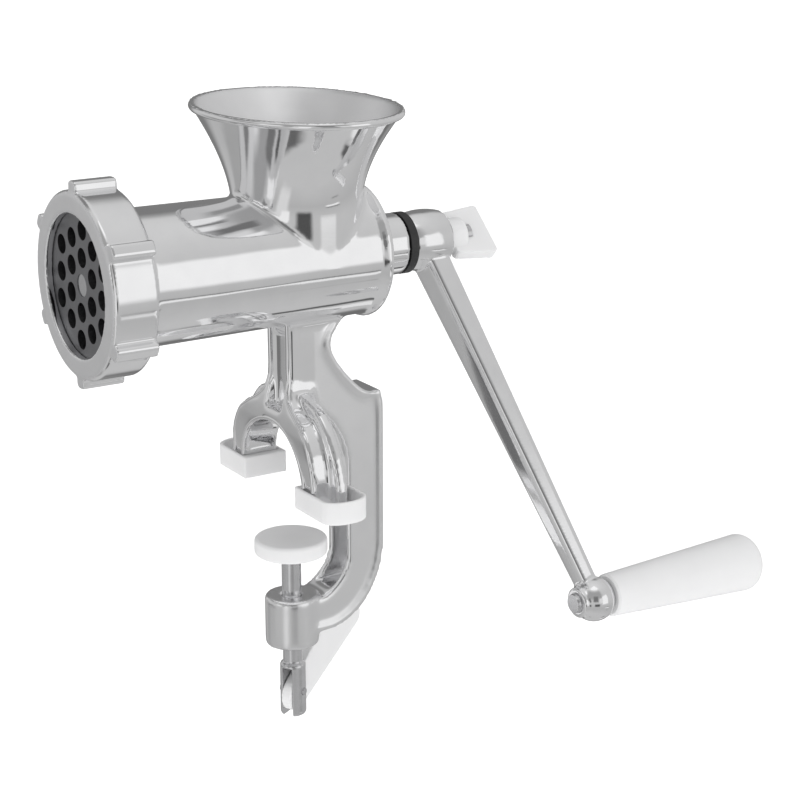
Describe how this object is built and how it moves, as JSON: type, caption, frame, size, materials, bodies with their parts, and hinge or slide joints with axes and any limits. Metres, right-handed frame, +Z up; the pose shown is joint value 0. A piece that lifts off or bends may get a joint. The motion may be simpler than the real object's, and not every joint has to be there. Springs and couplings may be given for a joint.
{
  "type": "hand crank meat grinder",
  "caption": "Table-clamped hand crank meat grinder: hopper, feed screw, knife and hole plate behind a ring nut, leaning crank with a turning grip, and a screw clamp.",
  "frame": {"origin": "on the clamp screw's axis, in the plane of the table top that the two feet stand on", "axes": "+Z up along the clamp screw, -Y along the barrel out of the outlet, +Y towards the crank, +X to the side that the crank leans to"},
  "size_m": [0.1397, 0.2667, 0.2525],
  "materials": {
    "cast_aluminium": "tumbled and polished casting",
    "bright_steel": "zinc plated, bright",
    "dark_steel": "ground tool steel, dull",
    "white_plastic": "semi-gloss, moulded",
    "black_rubber": "satin",
    "bearing_bronze": "turned"
  },
  "bodies": {
    "housing": {"body_casting": "cast_aluminium", "plate_locating_pin": "bright_steel", "rear_bearing_bush": "bearing_bronze", "foot_boot_left": "white_plastic", "foot_boot_right": "white_plastic"},
    "crank": {"auger": "cast_aluminium", "auger_drive_stud": "bright_steel", "cutting_knife": "bright_steel", "thrust_washer": "white_plastic", "shaft_seal_ring": "black_rubber", "crank_arm": "cast_aluminium", "handle_pin": "bright_steel", "handle_washer": "bright_steel", "handle_retaining_clip": "bright_steel"},
    "grip": {"handle_grip": "white_plastic", "grip_end_cap": "white_plastic"},
    "thumb_washer": {"thumb_screw_washer": "bright_steel"},
    "thumb_screw": {"thumb_screw_stud": "bright_steel", "thumb_screw_wing": "white_plastic"},
    "plate": {"grinding_plate": "dark_steel"},
    "ring": {"ring_nut": "cast_aluminium"},
    "pad": {"clamp_pad": "white_plastic"},
    "screw": {"clamp_screw": "bright_steel", "clevis_pin": "bright_steel", "pad_retaining_clip": "bright_steel"},
    "wing_lever": {"clamp_wing": "white_plastic"}
  },
  "joints": [
    {"name": "crank_turn", "type": "hinge", "parent": "housing", "child": "crank", "pos_m": [0, 0.05, 0.095], "axis": [0, 1, 0], "continuous": true},
    {"name": "grip_spin", "type": "hinge", "parent": "crank", "child": "grip", "pos_m": [0.0773, 0.12, -0.04108], "axis": [0, 1, 0], "continuous": true},
    {"name": "thumb_travel", "type": "slide", "parent": "crank", "child": "thumb_washer", "axis": [0, 1, 0], "range_m": [0, 0.0101]},
    {"name": "thumb_turn", "type": "hinge", "parent": "thumb_washer", "child": "thumb_screw", "pos_m": [0, 0.075, 0.095], "axis": [0, 1, 0], "range_deg": [0, 2880]},
    {"name": "plate_travel", "type": "slide", "parent": "housing", "child": "plate", "axis": [0, -1, 0], "range_m": [0, 0.0121]},
    {"name": "ring_turn", "type": "hinge", "parent": "plate", "child": "ring", "pos_m": [0, -0.08, 0.095], "axis": [0, -1, 0], "range_deg": [0, 1440]},
    {"name": "pad_travel", "type": "slide", "parent": "housing", "child": "pad", "axis": [0, 0, 1], "range_m": [-0.0151, 0.0041]},
    {"name": "screw_turn", "type": "hinge", "parent": "pad", "child": "screw", "pos_m": [0, 0, -0.05], "axis": [0, 0, 1], "range_deg": [-4320, 1152]},
    {"name": "wing_fold", "type": "hinge", "parent": "screw", "child": "wing_lever", "pos_m": [0, 0, -0.0874], "axis": [-0.866, -0.5, 0], "range_deg": [0, 120]}
  ],
  "couplings": [
    {"joint": "thumb_travel", "follows": "thumb_turn", "m_per_rad": 0.00019894},
    {"joint": "plate_travel", "follows": "ring_turn", "m_per_rad": 0.00047746},
    {"joint": "pad_travel", "follows": "screw_turn", "m_per_rad": 0.00019894}
  ]
}
